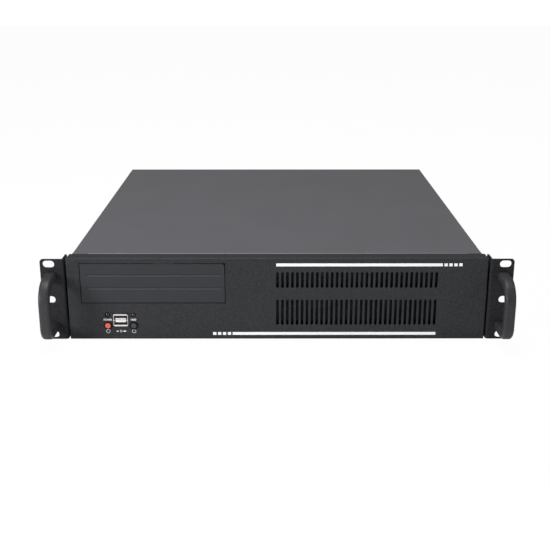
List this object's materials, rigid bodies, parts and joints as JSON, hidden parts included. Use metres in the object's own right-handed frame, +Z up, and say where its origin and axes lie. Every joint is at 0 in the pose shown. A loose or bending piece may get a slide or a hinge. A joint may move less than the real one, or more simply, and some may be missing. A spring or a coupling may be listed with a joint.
{
  "type": "empty rackmount server case",
  "caption": "Black steel rack case with a slotted front, drive bay blank, buttons, sockets, bow handles, fans and a sliding top cover.",
  "frame": {"origin": "centre of the rack slots, on the back faces of the ears", "axes": "+X to the right seen from the front, +Y into the rack, +Z up"},
  "size_m": [0.4826, 0.502, 0.088],
  "materials": {
    "painted_steel": "fine black powder coat",
    "panel_paint": "satin black powder coat",
    "handle_paint": "satin black paint",
    "zinc_steel": "zinc-plated sheet",
    "bright_steel": "zinc-plated fasteners",
    "black_screw": "black oxide",
    "screen_steel": "dark plated perforated sheet",
    "bay_plastic": "moulded black ABS",
    "fan_plastic": "moulded black",
    "black_plastic": "moulded black",
    "red_plastic": "moulded red",
    "dark_lens": "unlit lamp",
    "red_lens": "unlit red lamp",
    "socket_metal": "nickel-plated shell",
    "white_plastic": "moulded white",
    "board": "circuit board",
    "brass": "turned brass"
  },
  "bodies": {
    "case": {"chassis_tray": "painted_steel", "rear_panel": "painted_steel", "rear_rivets": "bright_steel", "front_panel": "panel_paint", "panel_screws": "bright_steel", "ear_left": "panel_paint", "ear_right": "panel_paint", "ear_screws": "black_screw", "ear_nuts": "bright_steel", "handle_left": "handle_paint", "handle_right": "handle_paint", "handle_screws": "black_screw", "bay_cover": "bay_plastic", "bay_cage": "zinc_steel", "cage_screws": "bright_steel", "cage_rivets": "bright_steel", "drive_bracket": "zinc_steel", "bracket_screws": "bright_steel", "vent_screen": "screen_steel", "fan_frame_left": "fan_plastic", "fan_frame_right": "fan_plastic", "fan_screws": "bright_steel", "front_board": "board", "board_screws": "bright_steel", "power_switch": "black_plastic", "reset_switch": "black_plastic", "power_lamp": "dark_lens", "drive_lamp": "red_lens", "lamp_spacers": "black_plastic", "socket_shell": "socket_metal", "socket_core": "white_plastic", "card_screws": "bright_steel", "standoffs": "brass", "card_blank_1": "zinc_steel", "card_blank_2": "zinc_steel", "card_blank_3": "zinc_steel", "card_blank_4": "zinc_steel"},
    "cover": {"top_cover": "painted_steel", "thumb_screws": "black_screw"},
    "left_rotor": {"fan_rotor_left": "fan_plastic"},
    "right_rotor": {"fan_rotor_right": "fan_plastic"},
    "power_key": {"power_button": "red_plastic"},
    "reset_key": {"reset_button": "black_plastic"}
  },
  "joints": [
    {"name": "cover_slide", "type": "slide", "parent": "case", "child": "cover", "axis": [0, 1, 0], "range_m": [0, 0.02]},
    {"name": "left_rotor_spin", "type": "hinge", "parent": "case", "child": "left_rotor", "pos_m": [0.0407, 0.03, -0.001], "axis": [0, 1, 0], "continuous": true},
    {"name": "right_rotor_spin", "type": "hinge", "parent": "case", "child": "right_rotor", "pos_m": [0.1227, 0.03, -0.001], "axis": [0, 1, 0], "continuous": true},
    {"name": "power_press", "type": "slide", "parent": "case", "child": "power_key", "axis": [0, 1, 0], "range_m": [0, 0.001], "stiffness_N_per_m": 1500},
    {"name": "reset_press", "type": "slide", "parent": "case", "child": "reset_key", "axis": [0, 1, 0], "range_m": [0, 0.001], "stiffness_N_per_m": 1500}
  ]
}
